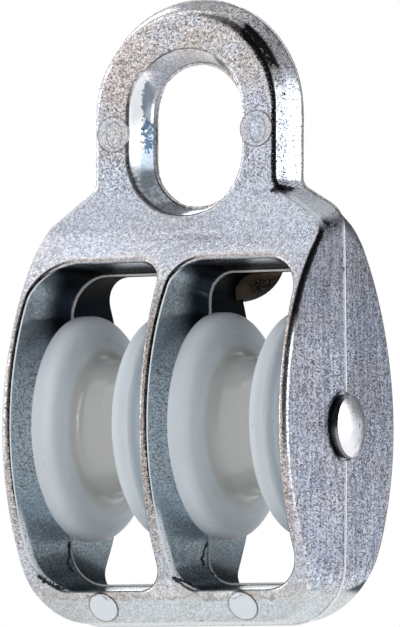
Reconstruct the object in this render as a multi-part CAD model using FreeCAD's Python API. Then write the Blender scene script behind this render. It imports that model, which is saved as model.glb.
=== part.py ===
import FreeCAD, Part
import math
import os

Vec = FreeCAD.Vector

# All sizes are millimetres. X runs along the axle, -Y is the front, +Z is up.
# While it is built, the object has the axle's centre at 0, 0, 0. At the end every
# piece drops by eye_height, so that the origin is the middle of the eye's hole.

# Sheaves: two grooved nylon wheels
sheave_diameter = 38.0
sheave_width = 18.2          # over the two rims
sheave_left_x = -12.5        # the wheels float on the axle, and the left one lies near the centre wall
sheave_right_x = 13.1
rim_land = 3.3               # width of each rim's outer band
groove_floor_diameter = 23.6
groove_wall_lean = 1.3       # how much narrower the groove is at its floor, each side
groove_crown = 0.35          # the floor's middle lies this much lower than its sides
groove_floor_fillet = 1.8
rim_outer_fillet = 0.4
rim_inner_fillet = 2.0
web_recess = 1.6             # depth of the dished side inside the rim
web_outer_diameter = 30.0
web_slope = 0.5              # slope of the dish's walls, so that it leaves its mould
hub_diameter = 14.0
hub_length = 20.0
axle_play = 0.08             # radial clearance of the bore on the axle

# Axle: a rivet from cheek to cheek
axle_diameter = 6.35
head_diameter = 10.6
head_side = 1.2              # height of the upright side, from the seat
head_bevel = 0.5             # height of the bevel above it
head_dome = 1.3              # height of the dome above that
head_drop = 0.5              # the pressed heads sit this much below the shank's axis
formed_head_diameter = 9.6
formed_head_side = 0.9
bevel_inset = 0.15
seat_diameter = 11.5         # shallow round seats in the cheeks under the heads
seat_x = 27.0

# Housing, at the parting plane Y = 0
cheek_half_width = 27.6      # outside of the cheeks at the axle
cheek_top_taper = 0.55       # the cheeks come in this much up to the shoulders
cheek_bottom_taper = 0.2     # and this much down to the bottom corners
cheek_bow_radius = 600.0
bottom_z = -33.25
bottom_corner_radius = 10.0
shoulder_z = 35.2
shoulder_radius = 5.2
neck_z = 39.9                # where the shoulders meet the eye
neck_radius = 2.4

# Housing draft: how much a face comes in for each millimetre away from Y = 0
cheek_draft = 0.04
bottom_draft = 0.05
rear_bottom_draft = 0.1
rear_corner_growth = 0.12    # the bottom corners get rounder towards the rear
shoulder_draft = 0.42
eye_draft = 0.4545

# Side profile: half the depth of the housing at each height
belly_half_depth = 20.0     # at the axle
upper_arc_radius = 44.4
lower_arc_radius = 41.5
lower_arc_end_z = -21.0      # below it the profile is straight
eye_half_depth = 5.5
throat_radius = 6.0          # hollow curve from the bridge up to the flat eye

# Eye
eye_outer_radius = 19.3
eye_hole_radius = 8.5
eye_crown_z = 52.3           # centre of the round top
eye_hole_crown_z = 52.5
eye_hole_bottom_z = 36.6
eye_hole_draft = 0.4
eye_hole_bottom_draft = 0.29
eye_crown_edge = 2.2         # rounding of the front edge over the top
eye_leg_edge = 0.8           # rounding of the same edge down the legs

# Bays that hold the sheaves
bay_inner_x = 2.0            # half the centre wall at Y = 0
bay_outer_x = 24.3
bay_top_z = 25.9
bay_bottom_z = -26.5
bay_inner_radius = 4.6
bay_outer_radius = 7.0
bay_inner_draft = 0.0625
bay_outer_draft = 0.04
bay_end_draft = 0.115
bay_rear_outer_draft = 0.01
bay_rear_top_draft = 0.035
bay_rear_corner_shrink = 0.12   # the outer corners get sharper towards the rear

# Casting marks
cast_depth = 22.0            # past the housing's deepest point
outer_edge_fillet = 0.9
window_edge_fillet = 0.6
hole_edge_fillet = 0.9
flash_thickness = 0.3
flash_outside = 0.15
flash_inside = 0.3
gate_radius = 12.9           # round lip left by the gate at the rear of the bridge
gate_z = 34.6
gate_front_y = 9.6
gate_cone_depth = 1.5        # the lip's front is a cone that gets this much narrower
gate_cone_narrowing = 2.0
gate_overlap = 0.6           # how far the lip reaches up into the bridge
pin_mark_height = 0.12
pin_mark_root = 0.4          # the marks start this deep in the metal
eye_pin_diameter = 6.0
eye_pin_x = 13.5
bar_pin_diameter = 5.3
bar_pin_x = 13.1
bar_pin_z = -30.3

# Modelling
clear = 1.0                  # cutting shapes reach this far past what they cut
window_reach = 3.0           # the windows' edges lie within this of the bays' ends at Y = 0

eye_height = (eye_hole_bottom_z + eye_hole_crown_z + eye_hole_radius) / 2
eye_band_x = (eye_outer_radius + eye_hole_radius) / 2
cheek_middle_x = (cheek_half_width + bay_outer_x) / 2
eye_pin_z = eye_height + 0.3


def rounded_outline(corners, y):
    """Closed wire at depth y through (x, z, radius) corners in order; a radius of 0 is sharp."""
    turns = []
    count = len(corners)
    for i, (x, z, radius) in enumerate(corners):
        corner = Vec(x, y, z)
        last_x, last_z, _ = corners[i - 1]
        next_x, next_z, _ = corners[(i + 1) % count]
        back = (Vec(last_x, y, last_z) - corner).normalize()
        ahead = (Vec(next_x, y, next_z) - corner).normalize()
        half = back.getAngle(ahead) / 2
        reach = radius / math.tan(half)
        middle = (back + ahead).normalize() * (radius / math.sin(half) - radius)
        turns.append((corner + back * reach, corner + middle, corner + ahead * reach))
    edges = []
    for i, (start, middle, end) in enumerate(turns):
        if corners[i][2] > 0:
            edges.append(Part.Arc(start, middle, end).toShape())
        following = turns[(i + 1) % count][0]
        if end.distanceToPoint(following) > 0.001:
            edges.append(Part.LineSegment(end, following).toShape())
    return Part.Wire(edges)


def with_mirror(right_half):
    """The whole outline from its right half, listed from the bottom up."""
    left_half = [(-x, z, radius) for x, z, radius in right_half]
    return right_half + left_half[::-1]


def housing_outline(depth, floor_draft=0.0, corner_growth=0.0):
    """Front view of the housing at a distance from the parting plane."""
    cheek_x = cheek_half_width - cheek_draft * depth
    floor = bottom_z + floor_draft * depth
    eye_x = eye_outer_radius - eye_draft * depth
    return with_mirror([
        (cheek_x - cheek_bottom_taper, floor, bottom_corner_radius + corner_growth * depth),
        (cheek_x, 0.0, cheek_bow_radius),
        (cheek_x - cheek_top_taper, shoulder_z - shoulder_draft * depth, shoulder_radius),
        (eye_x, neck_z, neck_radius),
        (eye_x, eye_crown_z + eye_x, eye_x),
    ])


def eye_hole_outline(depth):
    half_width = eye_hole_radius + eye_hole_draft * depth
    return with_mirror([
        (half_width, eye_hole_bottom_z - eye_hole_bottom_draft * depth, half_width),
        (half_width, eye_hole_crown_z + half_width, half_width),
    ])


def bay_outline(depth, outer_draft, top_draft, corner_shrink=0.0):
    """Opening of the right bay at a distance from the parting plane."""
    outer_radius = bay_outer_radius - corner_shrink * depth
    inner = bay_inner_x - bay_inner_draft * depth
    outer = bay_outer_x + outer_draft * depth
    bottom = bay_bottom_z - bay_end_draft * depth
    top = bay_top_z + top_draft * depth
    return [
        (inner, bottom, bay_inner_radius),
        (outer, bottom, outer_radius),
        (outer, top, outer_radius),
        (inner, top, bay_inner_radius),
    ]


def drafted(front, middle, rear):
    """Solid through three outlines: front and rear are cast_depth from the parting plane."""
    wires = [
        rounded_outline(front, -cast_depth),
        rounded_outline(middle, 0.0),
        rounded_outline(rear, cast_depth),
    ]
    return Part.makeLoft(wires, True, True)


def half_depth(z):
    """Half the housing's depth at height z."""
    if z > throat_top_z:
        return eye_half_depth
    if z > throat_join_z:
        return throat_centre_y - math.sqrt(throat_radius ** 2 - (throat_top_z - z) ** 2)
    if z > 0:
        return belly_half_depth - upper_arc_radius + math.sqrt(upper_arc_radius ** 2 - z ** 2)
    if z > lower_arc_end_z:
        return belly_half_depth - lower_arc_radius + math.sqrt(lower_arc_radius ** 2 - z ** 2)
    return lower_end_y + lower_slope * (z - lower_arc_end_z)


# Where the curves of the side profile meet
throat_centre_y = eye_half_depth + throat_radius
throat_reach = upper_arc_radius + throat_radius
throat_span = throat_centre_y - belly_half_depth + upper_arc_radius
throat_top_z = math.sqrt(throat_reach ** 2 - throat_span ** 2)
throat_join_z = throat_top_z * upper_arc_radius / throat_reach
lower_chord = math.sqrt(lower_arc_radius ** 2 - lower_arc_end_z ** 2)
lower_end_y = belly_half_depth - lower_arc_radius + lower_chord
lower_slope = -lower_arc_end_z / lower_chord


def side_profile():
    """Lens-shaped side view, with the flat eye above it, as a face in the plane X = 0."""
    def point(side, z):
        return Vec(0, side * half_depth(z), z)

    def arc(side, top, bottom):
        middle = point(side, (top + bottom) / 2)
        return Part.Arc(point(side, top), middle, point(side, bottom)).toShape()

    top_z = eye_crown_z + eye_outer_radius + clear
    floor_z = bottom_z - clear
    edges = []
    for side in (-1, 1):
        edges.append(Part.LineSegment(point(side, top_z), point(side, throat_top_z)).toShape())
        edges.append(arc(side, throat_top_z, throat_join_z))
        edges.append(arc(side, throat_join_z, 0.0))
        edges.append(arc(side, 0.0, lower_arc_end_z))
        edges.append(Part.LineSegment(point(side, lower_arc_end_z), point(side, floor_z)).toShape())
    edges.append(Part.LineSegment(point(-1, top_z), point(1, top_z)).toShape())
    edges.append(Part.LineSegment(point(-1, floor_z), point(1, floor_z)).toShape())
    return Part.Face(Part.Wire(Part.__sortEdges__(edges)))


def on_profile(edge):
    """True for an edge that lies on the front or rear surface and isn't a seam across it."""
    first = edge.valueAt(edge.FirstParameter)
    last = edge.valueAt(edge.LastParameter)
    middle = edge.valueAt((edge.FirstParameter + edge.LastParameter) / 2)
    points = (first, middle, last)
    if any(abs(abs(p.y) - half_depth(p.z)) > 0.02 for p in points):
        return False
    level = max(p.z for p in points) - min(p.z for p in points) < 0.01
    seam = any(abs(middle.z - z) < 0.05 for z in (throat_top_z, throat_join_z, 0.0, lower_arc_end_z))
    return not (level and seam)


def edge_radius(point):
    """Rounding at a point of an edge on the front or rear surface."""
    window_top_z = bay_top_z + window_reach
    if abs(point.x) < eye_band_x and window_top_z < point.z < eye_crown_z + eye_band_x:
        return hole_edge_fillet
    if abs(point.x) < cheek_middle_x and bottom_z + window_reach < point.z < window_top_z:
        return window_edge_fillet
    if point.z < eye_crown_z - 0.01:
        return outer_edge_fillet
    share = (point.z - eye_crown_z) / (eye_outer_radius - eye_draft * eye_half_depth)
    return eye_leg_edge + (eye_crown_edge - eye_leg_edge) * min(share, 1.0)


def rounded(shape, edges, radius_at):
    """The shape with edges rounded by the radius that radius_at gives at each of their ends."""
    document = FreeCAD.newDocument()
    base = document.addObject("Part::Feature", "base")
    base.Shape = shape
    result = document.addObject("Part::Fillet", "result")
    result.Base = base
    rows = []
    for i, edge in enumerate(base.Shape.Edges):
        if any(edge.isSame(wanted) for wanted in edges):
            start = radius_at(edge.valueAt(edge.FirstParameter))
            end = radius_at(edge.valueAt(edge.LastParameter))
            rows.append((i + 1, start, end))
    result.Edges = rows
    document.recompute()
    smooth = result.Shape.copy()
    FreeCAD.closeDocument(document.Name)
    return smooth


def axle_cylinder(diameter, from_x, to_x):
    return Part.makeCylinder(diameter / 2, to_x - from_x, Vec(from_x, 0, 0), Vec(1, 0, 0))


def housing_form():
    """The casting's outer form with its bays and eye hole, all edges rounded."""
    outside = drafted(
        housing_outline(cast_depth, bottom_draft),
        housing_outline(0),
        housing_outline(cast_depth, rear_bottom_draft, rear_corner_growth),
    )
    lens = side_profile().extrude(Vec(4 * cheek_half_width, 0, 0))
    lens.translate(Vec(-2 * cheek_half_width, 0, 0))
    bay = drafted(
        bay_outline(cast_depth, bay_outer_draft, bay_end_draft),
        bay_outline(0, 0, 0),
        bay_outline(cast_depth, bay_rear_outer_draft, bay_rear_top_draft, bay_rear_corner_shrink),
    )
    other_bay = bay.mirror(Vec(0, 0, 0), Vec(1, 0, 0))
    hole = drafted(eye_hole_outline(cast_depth), eye_hole_outline(0), eye_hole_outline(cast_depth))
    form = outside.common(lens).cut([bay, other_bay, hole])
    return rounded(form, [edge for edge in form.Edges if on_profile(edge)], edge_radius)


def parting_flash():
    """Thin web left where the two die halves met: a line outside, a small lip inside."""
    def slab(corners, grow):
        face = Part.Face(rounded_outline(corners, -flash_thickness / 2))
        return face.makeOffset2D(grow).extrude(Vec(0, flash_thickness, 0))

    bay = slab(bay_outline(0, 0, 0), -flash_inside)
    other_bay = bay.mirror(Vec(0, 0, 0), Vec(1, 0, 0))
    hole = slab(eye_hole_outline(0), -flash_inside)
    return slab(housing_outline(0), flash_outside).cut([bay, other_bay, hole])


def gate_lip():
    """Round lip left by the gate: it hangs from the bridge's rear edge into both bays."""
    rearward = Vec(0, 1, 0)
    centre = Vec(0, gate_front_y, gate_z)
    narrow = gate_radius - gate_cone_narrowing
    cone = Part.makeCone(narrow, gate_radius, gate_cone_depth, centre, rearward)
    plate = Part.makeCylinder(gate_radius, cast_depth, centre + rearward * gate_cone_depth, rearward)
    lip = cone.fuse(plate)
    low_z = gate_z - gate_radius - clear
    height = bay_top_z + gate_overlap - low_z
    block = Part.makeBox(4 * gate_radius, 2 * cast_depth, height, Vec(-2 * gate_radius, 0, low_z))
    lens = side_profile().extrude(Vec(4 * gate_radius, 0, 0))
    lens.translate(Vec(-2 * gate_radius, 0, 0))
    return lip.common(block).common(lens)


def pin_marks():
    """Discs that the ejector pins left on the front of the eye and of the bottom bar."""
    marks = []
    height = pin_mark_root + pin_mark_height
    lean = math.atan(lower_slope)
    forward = Vec(0, -1, 0)
    outward = Vec(0, -math.cos(lean), -math.sin(lean))
    for side in (-1, 1):
        on_eye = Vec(side * eye_pin_x, -eye_half_depth, eye_pin_z)
        on_bar = Vec(side * bar_pin_x, -half_depth(bar_pin_z), bar_pin_z)
        eye_root = on_eye - forward * pin_mark_root
        bar_root = on_bar - outward * pin_mark_root
        marks.append(Part.makeCylinder(eye_pin_diameter / 2, height, eye_root, forward))
        marks.append(Part.makeCylinder(bar_pin_diameter / 2, height, bar_root, outward))
    return marks


def make_housing():
    """One zinc casting: eye, bridge, two cheeks, centre wall and bottom bar."""
    body = housing_form()
    body = body.fuse([parting_flash(), gate_lip()] + pin_marks())
    seats = []
    for side in (-1, 1):
        seat = axle_cylinder(seat_diameter, seat_x, cheek_half_width + clear)
        seat.translate(Vec(0, 0, -head_drop))
        seats.append(seat if side > 0 else seat.mirror(Vec(0, 0, 0), Vec(1, 0, 0)))
    bore = axle_cylinder(axle_diameter, -cheek_half_width - clear, cheek_half_width + clear)
    return body.cut(seats + [bore]).removeSplitter()


def make_sheave(centre_x):
    """Grooved wheel turned about the axle."""
    half = sheave_width / 2
    rim = sheave_diameter / 2
    floor = groove_floor_diameter / 2
    wall = half - rim_land
    hub_end = hub_length / 2
    web = half - web_recess
    bore = axle_diameter / 2 + axle_play
    right_half = [
        (hub_end, bore, 0),
        (hub_end, hub_diameter / 2, 0),
        (web, hub_diameter / 2 + web_slope, 0),
        (web, web_outer_diameter / 2 - web_slope, 0),
        (half, web_outer_diameter / 2, 0),
        (half, rim, rim_outer_fillet),
        (wall, rim, rim_inner_fillet),
        (wall - groove_wall_lean, floor, groove_floor_fillet),
    ]
    left_half = [(-x, r, fillet) for x, r, fillet in right_half]
    crown = (0, floor - groove_crown, 0)
    section = Part.Face(rounded_outline(right_half + [crown] + left_half[::-1], 0.0))
    wheel = section.revolve(Vec(0, 0, 0), Vec(1, 0, 0), 360)
    wheel.translate(Vec(centre_x, 0, 0))
    return wheel


def domed_head(diameter, side):
    """Rivet head on the right cheek's seat: upright side, bevel and a part of a ball."""
    radius = diameter / 2
    bevel_x = seat_x + side
    dome_x = bevel_x + head_bevel
    dome_radius = radius - bevel_inset
    ball_radius = (dome_radius ** 2 + head_dome ** 2) / (2 * head_dome)
    ball_x = dome_x + head_dome - ball_radius
    half_angle = math.asin(dome_radius / ball_radius) / 2
    points = [
        Vec(seat_x, 0, 0),
        Vec(seat_x, 0, radius),
        Vec(bevel_x, 0, radius),
        Vec(dome_x, 0, dome_radius),
    ]
    crown = Vec(dome_x + head_dome, 0, 0)
    between = Vec(ball_x + ball_radius * math.cos(half_angle), 0, ball_radius * math.sin(half_angle))
    edges = [Part.LineSegment(a, b).toShape() for a, b in zip(points, points[1:])]
    edges.append(Part.Arc(points[-1], between, crown).toShape())
    edges.append(Part.LineSegment(crown, points[0]).toShape())
    head = Part.Face(Part.Wire(edges)).revolve(Vec(0, 0, 0), Vec(1, 0, 0), 360)
    head.translate(Vec(0, 0, -head_drop))
    return head


def make_axle():
    """Steel rivet: made head on the right cheek, formed head on the left one."""
    shank = axle_cylinder(axle_diameter, -seat_x, seat_x)
    head = domed_head(head_diameter, head_side)
    formed = domed_head(formed_head_diameter, formed_head_side).mirror(Vec(0, 0, 0), Vec(1, 0, 0))
    return shank.fuse([head, formed]).removeSplitter()


def main():
    os.makedirs("parts", exist_ok=True)
    pieces = {
        "housing": make_housing(),
        "sheave_left": make_sheave(sheave_left_x),
        "sheave_right": make_sheave(sheave_right_x),
        "axle_rivet": make_axle(),
    }
    for name, shape in pieces.items():
        shape.translate(Vec(0, 0, -eye_height))
        shape.exportStep("parts/" + name + ".step")
        print(name, shape.isValid(), len(shape.Solids), round(shape.Volume), "mm3")


main()
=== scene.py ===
import math
import random
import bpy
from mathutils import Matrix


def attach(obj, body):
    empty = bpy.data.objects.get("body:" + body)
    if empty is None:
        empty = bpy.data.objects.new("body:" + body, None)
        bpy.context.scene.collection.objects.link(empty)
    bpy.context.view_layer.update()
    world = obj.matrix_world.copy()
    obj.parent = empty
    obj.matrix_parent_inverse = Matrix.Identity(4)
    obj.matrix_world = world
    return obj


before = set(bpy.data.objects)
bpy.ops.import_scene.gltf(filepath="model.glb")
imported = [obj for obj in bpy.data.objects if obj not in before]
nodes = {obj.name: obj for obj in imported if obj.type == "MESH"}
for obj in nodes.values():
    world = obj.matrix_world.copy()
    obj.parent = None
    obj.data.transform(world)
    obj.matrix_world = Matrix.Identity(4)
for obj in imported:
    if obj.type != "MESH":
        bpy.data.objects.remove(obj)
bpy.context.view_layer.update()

from types import SimpleNamespace

import bmesh
import bpy
from mathutils import Matrix, Vector

scene = bpy.context.scene
scene.view_settings.view_transform = "Standard"

# Object coordinates are metres, and the materials work in millimetres.
# The origin is the middle of the eye's hole, X runs along the rivet and -Y is the front.

perMetre = 1000


# Node helpers

def feed(tree, sockets, inputs):
    for name, value in inputs.items():
        if isinstance(value, bpy.types.NodeSocket):
            tree.links.new(value, sockets[name])
        else:
            sockets[name].default_value = value


def addNode(tree, kind, inputs=None, **settings):
    made = tree.nodes.new("ShaderNode" + kind)
    for name, value in settings.items():
        setattr(made, name, value)
    feed(tree, made.inputs, inputs or {})
    return made


def calc(tree, operation, first, second=0.0):
    return addNode(tree, "Math", {0: first, 1: second}, operation=operation).outputs[0]


def product(tree, first, *others):
    for other in others:
        first = calc(tree, "MULTIPLY", first, other)
    return first


def total(tree, first, *others):
    for other in others:
        first = calc(tree, "ADD", first, other)
    return first


def highest(tree, first, *others):
    for other in others:
        first = calc(tree, "MAXIMUM", first, other)
    return first


def opposite(tree, mask):
    return calc(tree, "SUBTRACT", 1.0, mask)


def rise(tree, value, low, high, toLow=0.0, toHigh=1.0):
    made = addNode(tree, "MapRange", {"Value": value, "From Min": low, "From Max": high,
                                      "To Min": toLow, "To Max": toHigh}, interpolation_type="SMOOTHSTEP")
    return made.outputs["Result"]


def choose(tree, mask, outside, inside):
    return rise(tree, mask, 0.0, 1.0, outside, inside)


def mixColours(tree, factor, first, second, blend="MIX"):
    made = addNode(tree, "Mix", data_type="RGBA", blend_type=blend)
    feed(tree, made.inputs, {0: factor, 6: first, 7: second})  # 6, 7 and output 2 are colours
    return made.outputs[2]


def calcVector(tree, operation, first, second):
    return addNode(tree, "VectorMath", {0: first, 1: second}, operation=operation).outputs[0]


def lengthOf(tree, vector):
    return addNode(tree, "VectorMath", {0: vector}, operation="LENGTH").outputs["Value"]


def splitUp(tree, vector):
    return addNode(tree, "SeparateXYZ", {0: vector}).outputs


def noise(tree, place, scale, detail, roughness=0.5):
    made = addNode(tree, "TexNoise", {"Vector": place, "Scale": scale, "Detail": detail,
                                      "Roughness": roughness})
    return made.outputs[0]


def wobble(tree, value, amount):
    return calc(tree, "MULTIPLY", calc(tree, "SUBTRACT", value, 0.5), amount)


def useGroup(tree, group, look, **inputs):
    made = tree.nodes.new("ShaderNodeGroup")
    made.node_tree = group
    feed(tree, made.inputs, {**look, **inputs})
    return made.outputs


def newGroup(name, inputs, outputs):
    group = bpy.data.node_groups.new(name, "ShaderNodeTree")
    for label, kind, value in inputs:
        socket = group.interface.new_socket(name=label, in_out="INPUT", socket_type="NodeSocket" + kind)
        if value is not None:
            socket.default_value = value
    for label, kind in outputs:
        group.interface.new_socket(name=label, in_out="OUTPUT", socket_type="NodeSocket" + kind)
    return group, group.nodes.new("NodeGroupInput").outputs, group.nodes.new("NodeGroupOutput").inputs


def spreadNodes(tree):
    columnWidth, rowHeight = 240, 220
    depth = {made: 0 for made in tree.nodes}
    for _ in range(len(tree.nodes)):
        for link in tree.links:
            if depth[link.from_node] <= depth[link.to_node]:
                depth[link.from_node] = depth[link.to_node] + 1
    used = {}
    for made in tree.nodes:
        row = used.get(depth[made], 0)
        used[depth[made]] = row + 1
        made.location = (-columnWidth * depth[made], -rowHeight * row)


def newMaterial(name):
    material = bpy.data.materials.new(name)
    material.use_nodes = True
    tree = material.node_tree
    tree.nodes.clear()
    coords = addNode(tree, "TexCoord").outputs
    millimetres = {0: coords["Object"], "Scale": perMetre}
    place = addNode(tree, "VectorMath", millimetres, operation="SCALE").outputs[0]
    shader = addNode(tree, "BsdfPrincipled")
    addNode(tree, "OutputMaterial", {"Surface": shader.outputs[0]})
    return SimpleNamespace(material=material, tree=tree, place=place, normal=coords["Normal"],
                           shader=shader, sockets=shader.inputs)


def addBump(made, strength, depth, height):
    bump = addNode(made.tree, "Bump", {"Strength": strength, "Distance": depth / perMetre, "Height": height})
    made.tree.links.new(bump.outputs[0], made.sockets["Normal"])


# Node groups that several materials share

def makeGrainGroup():
    group, given, out = newGroup("castGrain", [
        ("Place", "Vector", None), ("Size", "Float", 0.3), ("Detail", "Float", 2.0), ("Seed", "Float", 0.0),
    ], [("Grain", "Float"), ("Clouds", "Float")])
    cloudScale = 0.09  # of the grains' scale
    grainRange, cloudRange = (0.3, 0.7), (0.35, 0.65)
    scale = calc(group, "DIVIDE", 1.0, given["Size"])
    shifted = calcVector(group, "ADD", given["Place"], given["Seed"])
    fine = noise(group, shifted, scale, given["Detail"], roughness=0.6)
    clouds = noise(group, shifted, product(group, scale, cloudScale), detail=3.0, roughness=0.55)
    group.links.new(rise(group, fine, *grainRange), out["Grain"])
    group.links.new(rise(group, clouds, *cloudRange), out["Clouds"])
    spreadNodes(group)
    return group


def makeEdgeGroup():
    group, given, out = newGroup("edgeWear", [
        ("Radius", "Float", 0.001), ("Low", "Float", 0.02), ("High", "Float", 0.2),
    ], [("Edge", "Float")])
    bevel = addNode(group, "Bevel", {"Radius": given["Radius"]}, samples=6)
    normal = addNode(group, "NewGeometry").outputs["Normal"]
    dot = addNode(group, "VectorMath", {0: bevel.outputs[0], 1: normal}, operation="DOT_PRODUCT")
    bend = opposite(group, dot.outputs["Value"])
    group.links.new(rise(group, bend, given["Low"], given["High"]), out["Edge"])
    spreadNodes(group)
    return group


def makeDiscGroup():
    group, given, out = newGroup("roundMark", [
        ("Place", "Vector", None), ("Centre", "Vector", (0, 0, 0)), ("Squeeze", "Vector", (1, 1, 1)),
        ("Radius", "Float", 3.0), ("Line", "Float", 0.25), ("Ragged", "Float", 0.0),
    ], [("Disc", "Float"), ("Ring", "Float"), ("Past", "Float")])
    softEdge = 0.3
    offset = calcVector(group, "SUBTRACT", given["Place"], given["Centre"])
    away = lengthOf(group, calcVector(group, "MULTIPLY", offset, given["Squeeze"]))
    shift = wobble(group, noise(group, given["Place"], scale=1.6, detail=4.0), given["Ragged"])
    past = calc(group, "SUBTRACT", total(group, away, shift), given["Radius"])
    group.links.new(past, out["Past"])
    group.links.new(rise(group, past, 0.0, -softEdge), out["Disc"])
    group.links.new(rise(group, calc(group, "ABSOLUTE", past), given["Line"], 0.0), out["Ring"])
    spreadNodes(group)
    return group


def makeSeamGroup():
    group, given, out = newGroup("seamLine", [
        ("Place", "Vector", None), ("Offset", "Float", 0.0), ("Width", "Float", 0.4),
        ("Wander", "Float", 0.1), ("Gaps", "Float", 0.4),
    ], [("Line", "Float")])
    softEdge = 0.08
    wander = wobble(group, noise(group, given["Place"], scale=0.5, detail=2.0), given["Wander"])
    offset = calc(group, "SUBTRACT", splitUp(group, given["Place"])["Y"], given["Offset"])
    off = calc(group, "ABSOLUTE", calc(group, "SUBTRACT", offset, wander))
    line = rise(group, off, given["Width"], 0.0)
    broken = noise(group, given["Place"], scale=0.9, detail=3.0)
    kept = rise(group, broken, given["Gaps"], total(group, given["Gaps"], softEdge))
    group.links.new(product(group, line, kept), out["Line"])
    spreadNodes(group)
    return group


def makeSpeckGroup():
    group, given, out = newGroup("specks", [
        ("Place", "Vector", None), ("Spacing", "Float", 2.0), ("Size", "Float", 0.1), ("Share", "Float", 0.3),
    ], [("Speck", "Float")])
    solid = 0.5  # share of a speck that has its full strength
    cells = addNode(group, "TexVoronoi", {"Vector": given["Place"], "Randomness": 1.0,
                                          "Scale": calc(group, "DIVIDE", 1.0, given["Spacing"])})
    reach = product(group, cells.outputs["Distance"], given["Spacing"])
    dot = rise(group, reach, given["Size"], product(group, given["Size"], solid))
    chance = addNode(group, "SeparateColor", {0: cells.outputs["Color"]}).outputs[0]
    chosen = calc(group, "LESS_THAN", chance, given["Share"])
    group.links.new(product(group, dot, chosen), out["Speck"])
    spreadNodes(group)
    return group


grainGroup = makeGrainGroup()
edgeGroup = makeEdgeGroup()
discGroup = makeDiscGroup()
seamGroup = makeSeamGroup()
speckGroup = makeSpeckGroup()
print("node groups ready")


# The casting: plated zinc

casting = {
    "coolZinc": (0.565, 0.61, 0.715, 1),
    "warmZinc": (0.57, 0.51, 0.475, 1),
    "sideZinc": (0.53, 0.575, 0.715, 1),  # outside of the cheeks
    "barZinc": (0.64, 0.70, 0.735, 1),
    "bridgeZinc": (0.64, 0.69, 0.80, 1),  # right end of the bridge
    # also paints the highlights and glints
    "brightZinc": (0.92, 0.94, 0.96, 1),
    "wallZinc": (0.70, 0.83, 0.91, 1),  # inside the bays
    "roofZinc": (0.012, 0.016, 0.024, 1),  # painted shade under the bridge and on the bays' floors
    "slopeZinc": (0.20, 0.245, 0.29, 1),  # painted shade on the rear half of the eye's left inner slope and high in the hole
    "lowZinc": (0.12, 0.145, 0.165, 1),  # lower left of the eye's hole
    "scuff": (0.045, 0.075, 0.115, 1),
    # black painted for dark reflections along the edges
    "soot": (0.005, 0.005, 0.007, 1),
    "gateBrown": (0.16, 0.115, 0.085, 1),
    # real dirt on the flecks, painted shade at the pit and by the rivet's head
    "dirtAndShade": (0.02, 0.02, 0.03, 1),
    "brownStain": (0.30, 0.23, 0.18, 1),
    "navyStain": (0.09, 0.10, 0.17, 1),
    "ridge": (1.0, 1.0, 1.0, 1),
    "pinMark": (0.72, 0.78, 0.83, 1),
    "ringLine": (0.16, 0.14, 0.13, 1),
    "metallic": 0.92,
    "metallicWherePlain": 0.12,  # on the painted white highlight lines and dull lips
    "spangleSize": 0.24,  # millimetres, as all lengths here
    "grainStretch": 0.5,  # longer from front to rear
    "streakStretch": (1, 1.6, 0.16),  # drawn out from top to bottom
    "streakScale": 0.9,
    "crinkleShare": 0.3,
    "spangleShare": 0.55,
    "grainDark": 0.38,
    "grainLight": 1.58,
    "darkestTone": 0.05,
    "roughest": 0.36,
    "smoothest": 0.22,
    "edgeRoughness": 0.13,
    "dullRoughness": 0.55,
    "slopeRoughness": 0.42,
    "grainHeight": 0.035,
    "bump": 0.6,
    "edgeRadius": 3.0,
    "edgeBend": {"Low": 0.005, "High": 0.1},
    "raggedReflection": 0.9,
    "raggedEdges": 0.45,
    "raggedSlope": 0.8,
    "lineHeight": -77.5,  # the brown line below the windows
    "lineScale": 0.45,
    "lineBends": 4.0,
    "scuffHeight": 1.0,
    "scuffSpread": 0.22,
    # at the windows' foot the front's depth is -(frontAtEye + frontSlope * height)
    "frontAtEye": 48.65,
    "frontSlope": 0.5,
}

grains = {
    "fine": {"Size": 0.21, "Detail": 6.0},
    "crinkle": {"Size": 0.55, "Detail": 5.0, "Seed": 17.0},
    "patches": {"Size": 0.9, "Seed": 40.0},
}

specks = {
    "flecks": {"Spacing": 0.8, "Size": 0.12, "Share": 0.3},
    "glints": {"Spacing": 0.5, "Size": 0.2, "Share": 0.6},
}

# where the ejector pins pressed: centre, radius and how smooth the mark is
pinMarks = {
    "eyeLeft": ((-13.5, -5.5, 0.3), 3.0, 0.2),
    "eyeRight": ((13.5, -5.5, 0.3), 3.0, 0.2),
    "barLeft": ((-13.1, -8.9, -79.1), 2.65, 0.85),
    "barRight": ((13.1, -8.9, -79.1), 2.65, 0.85),
}
dimpledBelow = 0.5  # a mark less smooth than this has an oval dimple
dimpleShift = Vector((0.25, 0, -0.1))

# round marks and bands
marks = {
    "archBand": {"Centre": (0, 0, 3.5), "Squeeze": (1, 0, 1), "Radius": 17.0, "Line": 2.2, "Ragged": 3.0},
    "thinBand": {"Centre": (0, 0, 3.5), "Squeeze": (1, 0, 1), "Radius": 13.2, "Line": 0.9, "Ragged": 2.0},
    "archReflection": {"Centre": (0, 0, 3.5), "Squeeze": (1, 0, 1), "Radius": 18.0, "Line": 1.7, "Ragged": 3.5},
    "notch": {"Centre": (18.0, -5.3, -10.0), "Squeeze": (0.6, 0, 1.2), "Radius": 1.1, "Ragged": 2.0},
    "scuff": {"Centre": (-9.0, -1.4, 0.2), "Squeeze": (0, 1, 0.6), "Radius": 1.7, "Ragged": 3.0},
    "pit": {"Centre": (4.7, -7.5, -81.4), "Radius": 0.3},  # a small blow hole in the bar, painted as a dark spot for its shade
    "pin": {"Ragged": 0.3},
    "dimple": {"Squeeze": (1.5, 1, 1), "Radius": 2.2, "Line": 0.3, "Ragged": 0.6},
    "rivetHead": {"Centre": (27.0, 0.0, -49.3), "Squeeze": (0, 1, 1), "Radius": 5.3, "Ragged": 1.4},
}

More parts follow.
